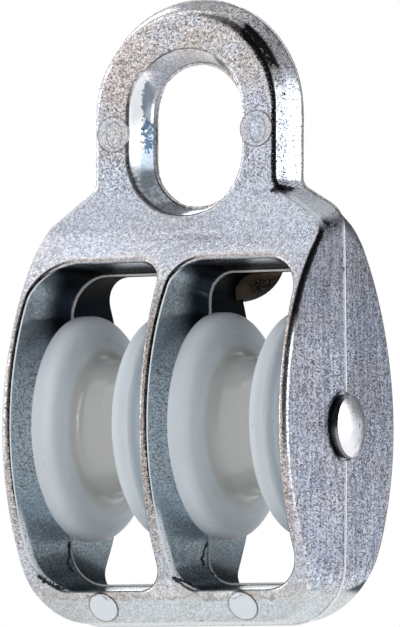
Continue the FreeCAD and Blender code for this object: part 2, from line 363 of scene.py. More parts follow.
# lines along the parting plane, by their offset from front to rear
seams = {
    "front": {"Offset": -0.55, "Width": 0.4, "Gaps": 0.5},
    "ridge": {"Offset": 0.0, "Width": 0.55, "Gaps": 0.3},
    "behind": {"Offset": 0.55, "Width": 0.4, "Gaps": 0.48},
}

# What is measured, where a mask begins and where it is full, then its two values if not 0 and 1.
# Lengths are millimetres. toFront, toRight and the like are parts of the surface's normal, and
# jagged is toFront with the grain on it.
zones = {
    # the large faces
    "facesFront": ("toFront", 0.80, 0.95),
    "facesForward": ("toFront", 0.2, 0.5),
    "facesSideways": ("toSide", 0.4, 0.8),
    "belowShoulders": ("height", -17.0, -23.0),
    "aboveBar": ("height", -73.0, -69.0),
    "bar": ("height", -74.0, -77.5),
    "pastCheeks": ("sideways", 25.6, 26.0),
    "facesOutward": ("toSide", 0.5, 0.8),
    # the shoulders, where the bridge meets the eye
    "shoulderFoot": ("height", -17.5, -15.5),
    "shoulderTop": ("height", -9.0, -12.0),
    "slopeTop": ("height", -8.5, -10.5),
    "shoulderOut": ("sideways", 18.0, 19.5),
    "shoulderRight": ("across", 18.5, 19.5),
    "edgeRounding": ("toFront", 0.25, 0.4),
    "edgeRoundingEnd": ("toFront", 0.98, 0.93),
    "turnsRight": ("toRight", 0.05, 0.15),
    "turnedAway": ("toFront", 0.5, 0.35),
    # the gate's lip under the bridge
    "lipRear": ("depth", 8.0, 9.0),
    "lipTop": ("height", -19.0, -21.0),
    "lipFoot": ("height", -32.0, -30.0),
    # the bridge
    "bridgeFoot": ("height", -23.0, -21.0),
    "bridgeTop": ("height", -9.0, -13.0),
    "calmBridgeTop": ("height", -8.0, -12.0),
    "bridgeRight": ("across", 5.0, 12.0),
    # the bays
    "bayWalls": ("toEitherFace", 0.8, 0.5),
    "betweenCheeks": ("sideways", 26.2, 25.8),
    "belowRoof": ("height", -21.5, -22.5),
    "aboveSill": ("height", -77.0, -76.0),
    "upperBay": ("height", -47.0, -31.0),
    "lowerBay": ("height", -58.0, -75.0),
    "wallsFront": ("depth", -3.0, -13.0),
    "midBayFoot": ("height", -64.0, -54.0),
    "midBayTop": ("height", -34.0, -42.0),
    "windowFoot": ("height", -74.0, -72.0),
    "windowTop": ("height", -22.5, -24.0),
    "windowSide": ("sideways", 25.6, 25.2),
    "windowLeft": ("toRight", 0.12, 0.3),
    "blackRim": ("toFront", 0.45, 0.6),
    "blackRimEnd": ("jagged", 0.91, 0.81),
    "blackRimFoot": ("height", -68.0, -60.0),
    "upright": ("upOrDown", 0.2, 0.08),
    "thinRim": ("toFront", 0.07, 0.11),
    "whiteRim": ("toFront", 0.17, 0.23),
    "whiteRimEnd": ("toFront", 0.6, 0.45),
    "cornerRim": ("toRight", 0.1, 0.4),
    "cornerRimTop": ("height", -60.0, -66.0),
    "sparkleFront": ("depth", -9.0, -13.0),
    "sparkleFoot": ("height", -66.0, -60.0),
    # below the windows
    "underWindowFoot": ("height", -78.6, -77.4),
    "underWindowTop": ("height", -74.5, -75.8),
    "tornFoot": ("height", -78.2, -77.2),
    "brownLineEnds": ("sideways", 24.0, 21.0),
    # the eye and its hole
    "archOnly": ("height", 3.0, 12.0, 0.0, 0.75),
    "cloudierAbove": ("height", -12.0, 10.0, 0.35, 0.95),
    "eyeHeight": ("height", -14.0, -4.0),
    "holeWalls": ("toEitherFace", 0.8, 0.6),
    "holeSides": ("sideways", 13.0, 12.5),
    "holeFoot": ("height", -16.0, -15.0),
    "holeCrown": ("height", 14.5, 13.5),
    "holeLeft": ("across", -7.6, -8.4),
    "holeRight": ("across", 7.0, 8.0),
    "leftOfMiddle": ("across", 2.0, -2.0),
    "lowInHole": ("height", -3.0, -7.0),
    "highInHole": ("height", 6.0, 9.0),
    "deepInHole": ("depth", -4.2, -0.8),
    "waistRear": ("depth", -1.0, -0.6),
    "waistFoot": ("height", 1.5, 3.5),
    "waistTop": ("height", 9.5, 7.5),
    # painted dark reflections, and dirt and painted shade by the rivet's head
    "eyeEdge": ("jagged", 0.44, 0.52),
    "eyeEdgeEnd": ("jagged", 1.02, 0.98),
    "eyeRight": ("across", 8.0, 11.0),
    "eyeTurnsRight": ("toRight", 0.08, 0.2),
    "archHeight": ("height", 9.0, 12.5),
    "archRight": ("across", 9.5, 11.5),
    "sootFoot": ("height", -11.5, -10.0),
    "sootInFront": ("depth", -2.4, -3.2),
    "cheekTurnsRight": ("toRight", 0.1, 0.3),
    "cheekEdge": ("jagged", 0.12, 0.22),
    "cheekFront": ("toFront", 0.12, 0.22),
    "cheekEdgeTop": ("height", -14.3, -16.0),
    "cheekEdgeFoot": ("height", -38.0, -31.0),
    "rightCheek": ("across", 25.2, 25.6),
    "headFront": ("depth", 0.0, -2.5),
    # painted shade, and a little lighter towards the top
    "rearHalf": ("depth", -4.0, 7.0),
    "upperCheek": ("height", -62.0, -46.0),
    "topOfCheek": ("height", -34.0, -24.0, 0.0, 0.4),
    "centreWall": ("sideways", 4.0, 2.5, 0.4, 1.0),
    "leftCorner": ("across", -15.0, -20.0),
    "lighterAbove": ("height", -8.0, 16.0, 0.96, 1.05),
    # the parting line
    "seamTop": ("height", -14.0, -17.0),
    "lowerHalf": ("height", -58.0, -62.0),
}

# where a texture begins to count and where it counts in full, then its two values if not 0 and 1
ramps = {
    "worn": (0.0, 0.5),
    "wornPatches": (0.2, 0.8, 0.45, 1.0),
    "warmCrinkle": (0.0, 0.5, 0.55, 1.0),
    "streaks": (0.35, 0.65, 0.8, 1.2),
    "sparklePatches": (0.2, 0.7, 0.2, 1.0),
    "brownLine": (0.3, 0.05),
    "brownGrain": (0.25, 0.45),
    "tornClouds": (0.45, 0.6),
    "tornGrain": (0.3, 0.7),
    "leftBright": (-1.6, -2.1),
    "scuffGrain": (0.25, 0.5),
    "lowGrain": (0.2, 0.8, 0.95, 0.6),
    "archReflection": (0.2, 0.35),
    "headDirtAndShade": (1.3, 0.6),
    "behindFront": (1.9, 0.9),
    "rimGrain": (0.1, 0.4),
    "seamGrain": (0.3, 0.6),
}

# a value outside a zone and inside it
choices = {
    "warmthInBay": (1.0, 0.15),
    "flecksOnWarm": (0.15, 0.7),
    "darkOnWalls": (0.97, 0.45),
    "seamBelow": (0.3, 0.85),
    "roughInHole": (1.0, 0.5),
    "roughUnderBridge": (1.0, 0.7),
}

# how strongly each shade or coat lies on the zinc
strength = {
    "rearShade": 0.2,
    "edgeShade": 0.28,
    "cornerShade": 0.12,
    "slopeShade": 0.38,
    "rings": 0.8,
    "dimple": 0.7,
    "thinBand": 0.8,
    "underWindow": 0.5,
    "brownLine": 0.75,
    "lipHighlightPatches": 0.5,
    "leftShaded": 0.93,
    "holeTop": 0.5,
    "soot": 0.97,
    "shoulderEdge": 0.55,
    "bayFloor": 0.75,
    "behind": 0.45,
    "ridge": 0.9,
}

# how much the grains swing between dark and light
swings = {
    "base": 1.4,
    "reach": 0.9,
    "outerSide": 0.6,
    "inBay": 0.1,  # taken off
    "bar": 0.45,
    "eye": 1.35,
    "bridge": 0.75,
    "bayEnds": 0.6,
    "midBay": 1.3,
}

# how much a surface calms its grain
calms = {"hole": 0.6, "edges": 0.5, "shoulder": 0.6}


def zone(on, *names):
    masks = []
    for name in names:
        measured, *limits = zones[name]
        masks.append(rise(on.tree, on.measures[measured], *limits))
    return product(on.tree, *masks)


def markOn(on, name, **more):
    return useGroup(on.tree, discGroup, marks[name], Place=on.place, **more)


def paint(on, mask, coat, *shares):
    on.colour = mixColours(on.tree, product(on.tree, mask, *shares), on.colour, casting[coat])


def findPlaces(on):
    tree = on.tree
    across, depth, height = splitUp(tree, on.place)
    normalX, normalY, normalZ = splitUp(tree, on.normal)
    on.measures = {
        "across": across,
        "sideways": calc(tree, "ABSOLUTE", across),
        "depth": depth,
        "height": height,
        "toRight": normalX,
        "toSide": calc(tree, "ABSOLUTE", normalX),
        "toFront": calc(tree, "MULTIPLY", normalY, -1.0),
        "toEitherFace": calc(tree, "ABSOLUTE", normalY),
        "upOrDown": calc(tree, "ABSOLUTE", normalZ),
    }
    on.frontFace = zone(on, "facesFront", "belowShoulders", "aboveBar")
    on.bar = zone(on, "bar")
    on.outerSide = zone(on, "pastCheeks", "facesOutward")
    on.inBay = zone(on, "bayWalls", "betweenCheeks", "belowRoof", "aboveSill")
    on.underBridge = product(tree, on.inBay, zone(on, "upperBay"))
    on.underWindow = zone(on, "underWindowFoot", "underWindowTop", "facesForward")
    on.shoulder = zone(on, "shoulderFoot", "shoulderTop")
    on.shoulderEdge = product(tree, on.shoulder, zone(on, "edgeRounding", "edgeRoundingEnd", "shoulderRight",
                                                      "turnsRight"))
    on.shoulderSlope = zone(on, "shoulderFoot", "slopeTop", "shoulderOut", "turnedAway")
    on.gateLip = zone(on, "lipRear", "facesForward", "lipTop", "lipFoot")
    on.inHole = zone(on, "holeWalls", "holeSides", "holeFoot", "holeCrown")


def findGrain(on):
    # fine, crinkled, cloudy and spangled
    tree = on.tree
    on.stretched = calcVector(tree, "MULTIPLY", on.place, (1, casting["grainStretch"], 1))
    on.fine = useGroup(tree, grainGroup, grains["fine"], Place=on.stretched)
    on.crinkle = useGroup(tree, grainGroup, grains["crinkle"], Place=on.stretched)
    on.patches = useGroup(tree, grainGroup, grains["patches"], Place=on.place)
    cells = addNode(tree, "TexVoronoi", {"Vector": on.stretched, "Scale": 1 / casting["spangleSize"]})
    spangle = addNode(tree, "SeparateColor", {0: cells.outputs["Color"]}).outputs[0]
    crinkled, spangled = casting["crinkleShare"], casting["spangleShare"]
    grain = total(tree, product(tree, on.fine["Grain"], 1 - crinkled),
                  product(tree, on.crinkle["Grain"], crinkled))
    on.grain = total(tree, product(tree, grain, 1 - spangled), product(tree, spangle, spangled))
    edgeRadius = casting["edgeRadius"] / perMetre
    on.edge = useGroup(tree, edgeGroup, casting["edgeBend"], Radius=edgeRadius)["Edge"]
    on.polished = product(tree, on.edge, opposite(tree, on.shoulder))
    # grains break up the edges of the painted dark reflections
    on.ragged = calc(tree, "SUBTRACT", product(tree, total(tree, on.fine["Grain"], spangle), 0.5), 0.5)
    jag = product(tree, on.ragged, casting["raggedEdges"])
    on.measures["jagged"] = total(tree, on.measures["toFront"], jag)


def findWarmth(on):
    # brown clouds, worn edges, and two bands that follow the arch
    tree = on.tree
    thinBand = product(tree, markOn(on, "thinBand")["Ring"], strength["thinBand"])
    arch = product(tree, highest(tree, markOn(on, "archBand")["Ring"], thinBand), zone(on, "archOnly"))
    cloudy = product(tree, on.patches["Clouds"], zone(on, "cloudierAbove"))
    worn = product(tree, rise(tree, on.edge, *ramps["worn"]),
                   rise(tree, on.patches["Grain"], *ramps["wornPatches"]))
    warmth = highest(tree, cloudy, worn, arch, on.frontFace,
                     product(tree, on.underWindow, strength["underWindow"]))
    return product(tree, warmth, rise(tree, on.crinkle["Grain"], *ramps["warmCrinkle"]),
                   choose(tree, on.inBay, *choices["warmthInBay"]))


def layBaseColours(on):
    tree = on.tree
    on.warmth = findWarmth(on)
    onBridge = product(tree, zone(on, "bridgeRight", "bridgeFoot", "bridgeTop"), opposite(tree, on.outerSide))
    on.colour = mixColours(tree, on.outerSide, casting["coolZinc"], casting["sideZinc"])
    paint(on, on.bar, "barZinc")
    paint(on, onBridge, "bridgeZinc")
    paint(on, on.inBay, "wallZinc")
    paint(on, on.warmth, "warmZinc")


def findPinMarks(on):
    # smooth on the bar, dimpled on the eye
    tree = on.tree
    on.smooth, on.rings = 0.0, 0.0
    for centre, radius, smoothness in pinMarks.values():
        mark = markOn(on, "pin", Centre=centre, Radius=radius)
        on.smooth = highest(tree, on.smooth, product(tree, mark["Disc"], smoothness))
        on.rings = highest(tree, on.rings, mark["Ring"])
        if smoothness < dimpledBelow:
            dimple = markOn(on, "dimple", Centre=Vector(centre) + dimpleShift)
            on.rings = highest(tree, on.rings, product(tree, dimple["Ring"], strength["dimple"]))


def findSwing(on):
    # strongest on the cheeks' outer sides, coarse on the eye and halfway down the bays
    tree = on.tree
    strong = highest(tree, product(tree, on.outerSide, swings["outerSide"]), on.frontFace)
    strong = calc(tree, "SUBTRACT", strong, product(tree, on.inBay, swings["inBay"]))
    swing = total(tree, product(tree, strong, swings["reach"]), swings["base"])
    outside = opposite(tree, highest(tree, on.inBay, on.outerSide))
    onEye = product(tree, outside, zone(on, "eyeHeight"))
    onBridge = product(tree, outside, zone(on, "bridgeFoot", "calmBridgeTop"))
    downBay = choose(tree, zone(on, "midBayFoot", "midBayTop"), swings["bayEnds"], swings["midBay"])
    on.calm = highest(tree, product(tree, on.inHole, calms["hole"]),
                      product(tree, on.polished, calms["edges"]),
                      product(tree, on.shoulderSlope, calms["shoulder"]))
    return product(tree, swing, choose(tree, on.bar, 1.0, swings["bar"]),
                   choose(tree, onEye, 1.0, swings["eye"]), choose(tree, onBridge, 1.0, swings["bridge"]),
                   choose(tree, on.inBay, 1.0, downBay), opposite(tree, on.smooth), opposite(tree, on.calm))


def findShade(on):
    # painted shade: the upper rear of the cheeks, the front faces, the bar's left corner and the shoulders
    # are darker
    tree = on.tree
    rear = highest(tree, zone(on, "rearHalf", "upperCheek"), zone(on, "topOfCheek"))
    shades = {
        "rearShade": product(tree, rear, on.outerSide),
        "edgeShade": product(tree, on.frontFace, zone(on, "centreWall")),
        "cornerShade": product(tree, on.bar, zone(on, "leftCorner")),
        "slopeShade": on.shoulderSlope,
    }
    return highest(tree, *(product(tree, mask, strength[name]) for name, mask in shades.items()))


def applyTone(on):
    tree = on.tree
    span = casting["grainLight"] - casting["grainDark"]
    middle = (casting["grainLight"] + casting["grainDark"]) / 2
    tone = total(tree, product(tree, wobble(tree, on.grain, span), findSwing(on)), middle)
    drawn = calcVector(tree, "MULTIPLY", on.place, casting["streakStretch"])
    streaks = rise(tree, noise(tree, drawn, casting["streakScale"], detail=3.0), *ramps["streaks"])
    tone = product(tree, tone, choose(tree, on.outerSide, 1.0, streaks), opposite(tree, findShade(on)),
                   zone(on, "lighterAbove"))
    tone = highest(tree, tone, casting["darkestTone"])
    toneColour = addNode(tree, "CombineColor", {0: tone, 1: tone, 2: tone}).outputs[0]
    on.colour = mixColours(tree, 1.0, on.colour, toneColour, "MULTIPLY")


def paintMarks(on):
    tree = on.tree
    flecks = useGroup(tree, speckGroup, specks["flecks"], Place=on.stretched)["Speck"]
    paint(on, on.smooth, "pinMark")
    paint(on, on.rings, "ringLine", strength["rings"])
    paint(on, product(tree, flecks, choose(tree, on.warmth, *choices["flecksOnWarm"])), "dirtAndShade")
    # the pit is a dark spot painted for the shade in the hole
    paint(on, markOn(on, "pit")["Disc"], "dirtAndShade")


def paintSparkle(on):
    # painted glints: bright grains near the bays' front edges
    tree = on.tree
    glints = useGroup(tree, speckGroup, specks["glints"], Place=on.stretched)["Speck"]
    patchy = rise(tree, on.patches["Grain"], *ramps["sparklePatches"])
    nearFront = zone(on, "facesSideways", "sparkleFront", "sparkleFoot")
    paint(on, product(tree, glints, on.inBay, nearFront, patchy), "brightZinc")


def paintBar(on):
    # a brown, wandering line, and pale patches below the windows that are painted highlights on the torn lip
    tree = on.tree
    bent = wobble(tree, noise(tree, on.place, casting["lineScale"], detail=4.0), casting["lineBends"])
    offLine = calc(tree, "ABSOLUTE", total(tree, on.measures["height"], -casting["lineHeight"], bent))
    brownLine = product(tree, rise(tree, offLine, *ramps["brownLine"]),
                        rise(tree, on.fine["Grain"], *ramps["brownGrain"]),
                        zone(on, "facesForward", "brownLineEnds"))
    paint(on, brownLine, "brownStain", strength["brownLine"])
    lipHighlights = product(tree, on.underWindow, zone(on, "tornFoot"),
                   rise(tree, on.crinkle["Clouds"], *ramps["tornClouds"]),
                   rise(tree, on.grain, *ramps["tornGrain"]))
    paint(on, lipHighlights, "brightZinc", strength["lipHighlightPatches"])


def paintHole(on):
    # the left inner slope has a painted highlight in front, painted shade and a scuff behind; the right one
    # is bright
    tree = on.tree
    leftSlope = product(tree, on.inHole, zone(on, "holeLeft"))
    fromScuff = calc(tree, "ABSOLUTE", calc(tree, "SUBTRACT", on.measures["height"], casting["scuffHeight"]))
    inward = total(tree, on.measures["depth"], wobble(tree, on.crinkle["Grain"], casting["raggedSlope"]),
                   product(tree, fromScuff, casting["scuffSpread"]))
    on.leftBright = product(tree, rise(tree, inward, *ramps["leftBright"]), leftSlope)
    rim = zone(on, "waistRear", "waistFoot", "waistTop")
    leftShaded = product(tree, leftSlope, opposite(tree, highest(tree, on.leftBright, rim)))
    holeLow = product(tree, on.inHole, zone(on, "leftOfMiddle", "lowInHole"))
    # painted shade high and deep in the hole
    holeTop = product(tree, on.inHole, zone(on, "highInHole", "deepInHole"))
    scuff = product(tree, markOn(on, "scuff")["Disc"], leftSlope,
                    rise(tree, on.crinkle["Grain"], *ramps["scuffGrain"]))
    paint(on, highest(tree, on.leftBright, product(tree, on.inHole, zone(on, "holeRight"))), "brightZinc")
    paint(on, leftShaded, "slopeZinc", strength["leftShaded"])
    paint(on, holeTop, "slopeZinc", strength["holeTop"])
    paint(on, product(tree, holeLow, rise(tree, on.crinkle["Grain"], *ramps["lowGrain"])), "lowZinc")
    paint(on, scuff, "scuff")


def paintDarkReflections(on):
    # a painted dark reflection: a ragged black line along the eye's right outer edge, widest on the arch
    tree = on.tree
    eyeEdge = zone(on, "eyeEdge", "eyeEdgeEnd", "eyeRight", "eyeTurnsRight")
    archReflection = total(tree, markOn(on, "archReflection")["Ring"], product(tree, on.ragged, casting["raggedReflection"]))
    archReflection = rise(tree, product(tree, archReflection, zone(on, "archHeight", "archRight")), *ramps["archReflection"])
    soot = highest(tree, eyeEdge, archReflection, markOn(on, "notch")["Disc"])
    soot = product(tree, soot, zone(on, "sootFoot", "sootInFront"))
    # the cheek's front edge carries a painted black reflection above the middle
    cheekEdge = zone(on, "cheekTurnsRight", "cheekEdge", "cheekEdgeTop", "cheekEdgeFoot", "rightCheek")
    on.soot = highest(tree, soot, cheekEdge)
    # where the painted dark reflections and the gate's lip can lie, told by place and normal alone
    on.sooty = highest(tree, zone(on, "edgeRounding", "eyeRight", "eyeTurnsRight", "sootFoot", "sootInFront"),
                       zone(on, "archHeight", "archRight", "sootInFront"), on.gateLip,
                       zone(on, "cheekTurnsRight", "cheekFront", "cheekEdgeTop", "cheekEdgeFoot",
                            "rightCheek"))
    paint(on, on.soot, "soot", strength["soot"])
    paint(on, on.gateLip, "gateBrown")
    paint(on, on.shoulderEdge, "barZinc", strength["shoulderEdge"])
    # dirt and painted shade in front of the rivet's head
    pastHead = rise(tree, markOn(on, "rivetHead")["Past"], *ramps["headDirtAndShade"])
    paint(on, product(tree, pastHead, zone(on, "headFront"), on.outerSide), "dirtAndShade")


def paintBays(on):
    # painted shade: dark under the bridge and on the floors
    tree = on.tree
    wallFront = zone(on, "facesSideways", "wallsFront")
    dark = highest(tree, product(tree, on.underBridge, choose(tree, wallFront, *choices["darkOnWalls"])),
                   product(tree, on.inBay, zone(on, "lowerBay"), strength["bayFloor"]))
    # painted highlight: the windows' lower left corners keep a bright rim in front, where the front slopes
    # back
    slopeBack = product(tree, on.measures["height"], casting["frontSlope"])
    behindFront = total(tree, on.measures["depth"], casting["frontAtEye"], slopeBack)
    corner = product(tree, rise(tree, behindFront, *ramps["behindFront"]),
                     zone(on, "cornerRim", "cornerRimTop"), on.inBay)
    cornerRim = product(tree, corner, rise(tree, on.fine["Grain"], *ramps["rimGrain"]))
    # a painted black reflection and a painted white highlight run down the windows' left edges
    besideWindow = zone(on, "windowLeft", "windowSide", "windowFoot", "windowTop")
    blackRim = product(tree, zone(on, "blackRim", "blackRimEnd", "blackRimFoot"), besideWindow)
    whiteRim = highest(tree, zone(on, "thinRim", "upright"), zone(on, "whiteRim"))
    whiteRim = product(tree, whiteRim, zone(on, "whiteRimEnd"), besideWindow)
    on.brightRim = highest(tree, cornerRim, whiteRim)
    on.sooty = highest(tree, on.sooty, product(tree, dark, opposite(tree, highest(tree, corner, whiteRim))))
    paint(on, product(tree, dark, opposite(tree, on.brightRim)), "roofZinc")
    paint(on, on.brightRim, "brightZinc")
    paint(on, blackRim, "soot")


def paintPartingLine(on):
    # a painted highlight on the ridge, a dark line in front of it, a brown stain behind
    tree = on.tree
    inside = product(tree, on.underBridge, rise(tree, on.fine["Grain"], *ramps["seamGrain"]))
    shown = highest(tree, product(tree, zone(on, "seamTop"), opposite(tree, on.inBay)), inside)
    lines = {}
    for name, seam in seams.items():
        line = useGroup(tree, seamGroup, seam, Place=on.place)["Line"]
        lines[name] = product(tree, line, shown)
    on.ridge = lines["ridge"]
    darker = choose(tree, zone(on, "lowerHalf"), *choices["seamBelow"])
    paint(on, product(tree, lines["front"], darker), "navyStain")
    paint(on, lines["behind"], "brownStain", strength["behind"])
    paint(on, on.ridge, "ridge", strength["ridge"])


def connectCasting(on):
    tree = on.tree
    rough = choose(tree, on.grain, casting["roughest"], casting["smoothest"])
    rough = total(tree, product(tree, rough, opposite(tree, on.polished)),
                  product(tree, on.polished, casting["edgeRoughness"]))
    rough = product(tree, rough, choose(tree, on.inHole, *choices["roughInHole"]))
    dull = highest(tree, on.shoulderEdge, on.gateLip)
    rough = highest(tree, rough, product(tree, highest(tree, dull, on.soot), casting["dullRoughness"]),
                    product(tree, on.leftBright, casting["slopeRoughness"]))
    rough = product(tree, rough, choose(tree, on.underBridge, *choices["roughUnderBridge"]))
    plain = highest(tree, on.ridge, on.brightRim, dull)
    metal = choose(tree, plain, casting["metallic"], casting["metallicWherePlain"])
    # metal painted dark, for reflections and shade, doesn't turn into a mirror at a glancing angle
    tint = mixColours(tree, on.sooty, (1, 1, 1, 1), (0, 0, 0, 1))
    feed(tree, on.sockets, {"Base Color": on.colour, "Roughness": rough, "Metallic": metal,
                            "Specular Tint": tint})
    relief = product(tree, on.grain, opposite(tree, highest(tree, on.smooth, on.calm)))
    addBump(on, casting["bump"], casting["grainHeight"], relief)


def makeCastingMaterial():
    on = newMaterial("zincCasting")
    findPlaces(on)
    findGrain(on)
    layBaseColours(on)
    findPinMarks(on)
    applyTone(on)
    paintMarks(on)
    paintSparkle(on)
    paintBar(on)
    paintHole(on)
    paintDarkReflections(on)
    paintBays(on)
    paintPartingLine(on)
    connectCasting(on)
    spreadNodes(on.tree)
    return on.material


# The sheaves: natural nylon

nylon = {
    "colour": (0.65, 0.695, 0.73, 1),
    "warmAndShadedColour": (0.58, 0.58, 0.555, 1),
    "speckColour": (0.12, 0.10, 0.09, 1),
    "grain": {"Size": 0.8},
    "patches": {"Size": 1.2, "Seed": 13.0},
    "patchWarmth": 0.25,
    "specks": {"Spacing": 2.2, "Size": 0.16, "Share": 0.2},
    "speckDepth": 0.6,
    "throughLight": (0.195, 0.20, 0.22, 1),
    "axle": (0, 0, -48.8),  # millimetres, as all lengths here
    "sheaveX": 12.8,  # how far a sheave's middle is from the block's
    "floorRadii": (14.5, 12.6),  # the groove's floor is warmer and darker, a painted shade
    "rimRadii": (14.0, 17.5),
    "sides": (6.9, 7.3),  # from a sheave's middle, where the painted glow stands in for light that comes through
    "rimGlow": (17.5, 14.0, 0.35, 1.0),
    "glowEnd": (18.9, 18.6),
    "roughness": 0.06,
    "roughnessSwing": 0.08,
    "rimRoughness": 0.55,  # more on the rims
    "subsurface": 0.9,
    "glowColour": (1.0, 0.9, 0.75),
    "glowDepth": 3.5,
    "bump": 0.12,
    "bumpHeight": 0.02,
}


def makeNylonMaterial():
    on = newMaterial("nylon")
    tree, place = on.tree, on.place
    grain = useGroup(tree, grainGroup, nylon["grain"], Place=place)["Grain"]
    patches = useGroup(tree, grainGroup, nylon["patches"], Place=place)["Clouds"]
    speck = useGroup(tree, speckGroup, nylon["specks"], Place=place)["Speck"]
    fromAxle = calcVector(tree, "SUBTRACT", place, nylon["axle"])
    radius = lengthOf(tree, calcVector(tree, "MULTIPLY", fromAxle, (0, 1, 1)))
    # warm patches at random, and the groove's floor painted darker for its shade
    warmAndShaded = highest(tree, rise(tree, radius, *nylon["floorRadii"]),
                   product(tree, patches, nylon["patchWarmth"]))
    colour = mixColours(tree, warmAndShaded, nylon["colour"], nylon["warmAndShadedColour"])
    colour = mixColours(tree, product(tree, speck, nylon["speckDepth"]), colour, nylon["speckColour"])
    # ropes keep the groove glossy, and the rims are duller
    rough = total(tree, choose(tree, grain, nylon["roughness"], nylon["roughness"] + nylon["roughnessSwing"]),
                  rise(tree, radius, *nylon["rimRadii"], 0.0, nylon["rimRoughness"]))
    # a painted glow, standing in for light that comes through the thin rims, seen in the narrow gaps
    fromOrigin = calc(tree, "ABSOLUTE", splitUp(tree, place)["X"])
    fromMiddle = calc(tree, "ABSOLUTE", calc(tree, "SUBTRACT", fromOrigin, nylon["sheaveX"]))
    through = product(tree, rise(tree, fromMiddle, *nylon["sides"]), rise(tree, radius, *nylon["rimGlow"]),
                      rise(tree, radius, *nylon["glowEnd"]))
    feed(tree, on.sockets, {
        "Base Color": colour,
        "Roughness": rough,
        "Emission Color": mixColours(tree, through, (0, 0, 0, 1), nylon["throughLight"]),
        "Emission Strength": 1.0,
        "Subsurface Weight": nylon["subsurface"],
        "Subsurface Radius": nylon["glowColour"],
        "Subsurface Scale": nylon["glowDepth"] / perMetre,
    })
    addBump(on, nylon["bump"], nylon["bumpHeight"], grain)
    spreadNodes(tree)
    return on.material


# The rivet: bright steel

rivet = {
    "steel": (0.90, 0.90, 0.95, 1),
    "grimeAndDarkReflection": (0.05, 0.05, 0.06, 1),
    "grain": {"Size": 0.5, "Seed": 7.0},
    "sides": (0.55, 0.2),  # how little a surface faces outward
    "darkReflectionOnSides": 0.85,
    "marks": (0.75, 0.95),
    "grimeInMarks": 0.35,
    "roughness": 0.24,
    "roughnessSwing": 0.1,
    "bump": 0.15,
    "bumpHeight": 0.02,
}


def makeRivetMaterial():
    on = newMaterial("rivetSteel")
    tree = on.tree
    grain = useGroup(tree, grainGroup, rivet["grain"], Place=on.place)
    facing = calc(tree, "ABSOLUTE", splitUp(tree, on.normal)["X"])
    # the head's sides are painted dark for a dark reflection and shade; the cloudy marks are grime
    onSides = product(tree, rise(tree, facing, *rivet["sides"]), rivet["darkReflectionOnSides"])
    inMarks = product(tree, rise(tree, grain["Clouds"], *rivet["marks"]), rivet["grimeInMarks"])
    colour = mixColours(tree, highest(tree, onSides, inMarks), rivet["steel"], rivet["grimeAndDarkReflection"])
    rough = choose(tree, grain["Grain"], rivet["roughness"], rivet["roughness"] + rivet["roughnessSwing"])
    feed(tree, on.sockets, {"Base Color": colour, "Roughness": rough, "Metallic": 1.0})
    addBump(on, rivet["bump"], rivet["bumpHeight"], grain["Grain"])
    spreadNodes(tree)
    return on.material


castingMaterial = makeCastingMaterial()
nylonMaterial = makeNylonMaterial()
rivetMaterial = makeRivetMaterial()

finishes = {
    "housing": castingMaterial,
    "sheave_left": nylonMaterial,
    "sheave_right": nylonMaterial,
    "axle_rivet": rivetMaterial,
}
for name, material in finishes.items():
    nodes[name].data.materials.clear()
    nodes[name].data.materials.append(material)
print("materials on the housing, the sheaves and the rivet")


# Torn flash: small ragged burrs that the trimming left in the bays, near black for the shade along them, in
# millimetres

tornFlash = {
    # near black, painted shade along the burrs; the grain's paler spots are painted shine
    "colour": (0.02, 0.021, 0.026, 1),
    "shine": (0.30, 0.33, 0.37, 1),
    "grain": {"Size": 0.15, "Seed": 3.0},
    "shining": (0.85, 1.0),
    "roughness": (0.6, 0.35),
    "metallic": 0.6,
    "bump": 0.5,
    "bumpHeight": 0.04,
    "height": 0.3,
    "rooted": 0.15,  # how deep the foot sits in the casting
    "wander": 0.12,
    "widths": (0.25, 0.75),
    "heights": (0.35, 1.0),
    "crest": ((-0.3, 1.0), (0.4, 0.7)),  # two points, as shares of the half width and the height
    "tipSize": 0.35,  # at the ends, growing by tipGrowth a step
    "tipGrowth": 0.25,
    "stepsPerRun": 5,
    "seed": 4,
    # name: which way it stands up, its width, then its path
    "burrs": {
        "torn_flash_left_wall": ((0.97, -0.1, 0.2), 0.4, [
            (-24.15, -0.5, -67.7), (-24.25, -0.75, -69.4), (-24.05, -0.8, -70.4), (-23.9, -2.0, -71.1),
            (-23.4, -2.1, -72.1), (-22.7, -1.8, -73.0)]),
        "torn_flash_centre_wall": ((1.0, -0.06, 0.0), 0.4, [
            (2.0, -0.5, -68.1), (1.9, -1.6, -69.6), (1.9, -1.8, -70.5), (1.85, -2.5, -71.0),
            (1.95, -1.7, -71.7), (2.05, -2.15, -72.3)]),
        "torn_flash_left_corner": ((0.5, -0.8, 0.2), 0.75, [
            (-24.1, -11.9, -73.8), (-23.5, -11.6, -74.15), (-23.0, -11.25, -74.6), (-22.2, -10.8, -75.2),
            (-21.7, -10.5, -75.4), (-19.9, -9.85, -76.15)]),
        "torn_flash_right_corner": ((0.6, -0.6, 0.4), 0.85, [
            (1.3, -11.6, -74.2), (1.85, -11.2, -74.65), (2.4, -10.5, -74.9), (3.2, -9.4, -75.4),
            (4.7, -9.05, -76.1)]),
    },
}


def makeTornMaterial():
    on = newMaterial("tornFlash")
    tree = on.tree
    grain = useGroup(tree, grainGroup, tornFlash["grain"], Place=on.place)["Grain"]
    shining = rise(tree, grain, *tornFlash["shining"])
    colour = mixColours(tree, shining, tornFlash["colour"], tornFlash["shine"])
    rough = choose(tree, grain, *tornFlash["roughness"])
    feed(tree, on.sockets, {"Base Color": colour, "Roughness": rough, "Metallic": tornFlash["metallic"]})
    addBump(on, tornFlash["bump"], tornFlash["bumpHeight"], grain)
    spreadNodes(tree)
    return on.material


def spotsAlong(path):
    steps = tornFlash["stepsPerRun"]
    spots = []
    for start, end in zip(path, path[1:]):
        spots += [Vector(start).lerp(Vector(end), i / steps) for i in range(steps)]
    return spots + [Vector(path[-1])]


